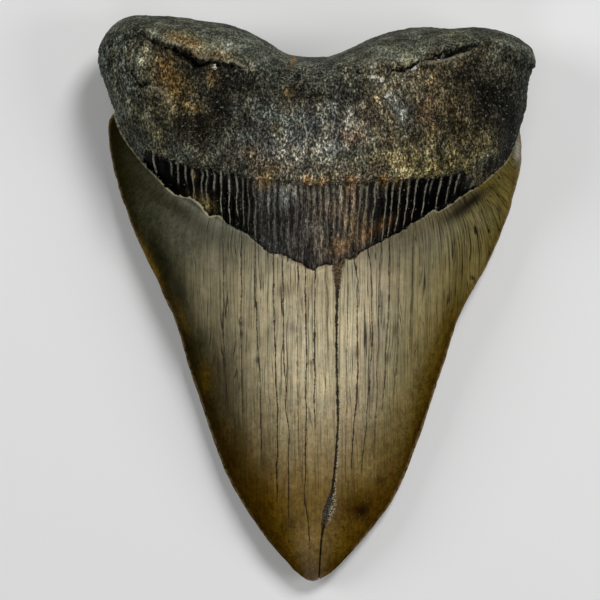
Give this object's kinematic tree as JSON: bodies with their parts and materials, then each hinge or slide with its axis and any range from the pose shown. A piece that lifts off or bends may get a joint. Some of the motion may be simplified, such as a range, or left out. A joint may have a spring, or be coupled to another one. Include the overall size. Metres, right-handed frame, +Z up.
{
  "type": "fossil megalodon tooth",
  "caption": "Fossil megalodon tooth with a two-lobed stone root, a dark ribbed band and a broad crowned blade, lying on its outer face.",
  "frame": {"origin": "On the surface that the tooth lies on, under the middle of its box", "axes": "+Y from the tip towards the root, along the tooth; +X across it, to the right seen from above; +Z up, out of the inner (lingual) face"},
  "size_m": [0.1102, 0.1436, 0.0306],
  "materials": {
    "fossil_tooth": "satin"
  },
  "bodies": {
    "root": {"tooth": "fossil_tooth"}
  },
  "joints": []
}
